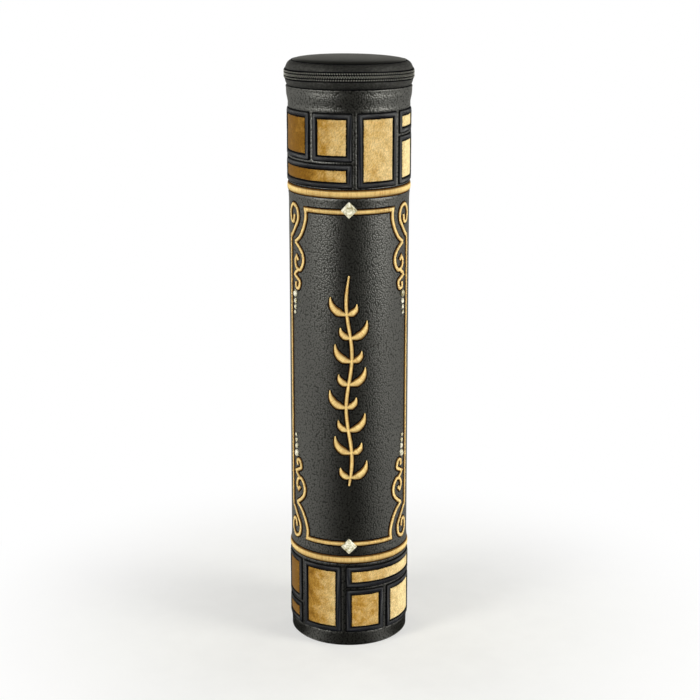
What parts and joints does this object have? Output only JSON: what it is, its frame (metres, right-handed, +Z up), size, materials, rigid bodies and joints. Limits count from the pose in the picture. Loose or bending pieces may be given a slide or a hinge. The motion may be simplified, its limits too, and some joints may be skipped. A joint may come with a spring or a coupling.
{
  "type": "megillah case",
  "caption": "Tall round leather case for a rolled scroll: board tube, zip-round padded lid on a soft hinge, suede panels and gold embroidered frames.",
  "frame": {"origin": "middle of the base's underside, on the tube's axis", "axes": "+Z up along the tube, -Y towards the embroidered front, +X to the right as the front is seen"},
  "size_m": [0.082, 0.0818, 0.3821],
  "materials": {
    "cover_leather": "pebbled, semi-matt, dark charcoal",
    "board": "plain grey-brown board",
    "lining_cloth": "flocked, matt",
    "zip_tape": "woven, matt",
    "zip_coil": "nylon coil, dark grey",
    "zip_metal": "dark, satin",
    "gold_thread": "satin-stitched rayon thread, silky",
    "suede": "napped, with a strong side sheen, in a black satin-stitched border",
    "foam": "wadding, hidden",
    "pearl": "pearly, polished"
  },
  "bodies": {
    "case": {"board_tube": "board", "base_board": "board", "tube_lining": "lining_cloth", "floor_lining": "lining_cloth", "leather_cover": "cover_leather", "base_cover": "cover_leather", "lower_zip_tape": "zip_tape", "hinge_strip_lower": "cover_leather", "lower_tooth_row": "zip_coil", "closed_end_stop": "zip_metal", "open_end_stop": "zip_metal", "lower_gold_band": "gold_thread", "upper_gold_band": "gold_thread", "upper_front_panel_1": "suede", "upper_front_panel_2": "suede", "upper_front_panel_3": "suede", "upper_front_panel_4": "suede", "upper_front_panel_5": "suede", "upper_front_panel_6": "suede", "lower_front_panel_1": "suede", "lower_front_panel_2": "suede", "lower_front_panel_3": "suede", "lower_front_panel_4": "suede", "lower_front_panel_5": "suede", "lower_front_panel_6": "suede", "front_top_scroll": "gold_thread", "front_bottom_scroll": "gold_thread", "front_top_stone": "pearl", "front_bottom_stone": "pearl", "front_left_line": "gold_thread", "front_right_line": "gold_thread", "upper_back_panel_1": "suede", "upper_back_panel_2": "suede", "upper_back_panel_3": "suede", "upper_back_panel_4": "suede", "upper_back_panel_5": "suede", "upper_back_panel_6": "suede", "lower_back_panel_1": "suede", "lower_back_panel_2": "suede", "lower_back_panel_3": "suede", "lower_back_panel_4": "suede", "lower_back_panel_5": "suede", "lower_back_panel_6": "suede", "back_top_scroll": "gold_thread", "back_bottom_scroll": "gold_thread", "back_top_stone": "pearl", "back_bottom_stone": "pearl", "back_left_line": "gold_thread", "back_right_line": "gold_thread", "leaf_stem": "gold_thread"},
    "lid": {"lid_ring": "board", "lid_board": "board", "lid_lining": "lining_cloth", "lid_cover": "cover_leather", "lid_pad": "foam", "upper_zip_tape": "zip_tape", "upper_tooth_row": "zip_coil", "hinge_strip_upper": "cover_leather"},
    "zip_slider": {"zip_slider": "zip_metal"},
    "zip_pull": {"zip_pull": "zip_metal"}
  },
  "joints": [
    {"name": "lid_hinge", "type": "hinge", "parent": "case", "child": "lid", "pos_m": [0, 0.0403, 0.3721], "axis": [-1, 0, 0], "range_deg": [0, 180]},
    {"name": "slider_travel", "type": "hinge", "parent": "case", "child": "zip_slider", "pos_m": [0, 0, 0.3721], "axis": [0, 0, -1], "range_deg": [0, 260]},
    {"name": "pull_swing", "type": "hinge", "parent": "zip_slider", "child": "zip_pull", "pos_m": [0.03302, 0.0277, 0.3721], "axis": [0, 0, -1], "range_deg": [0, 180]}
  ]
}
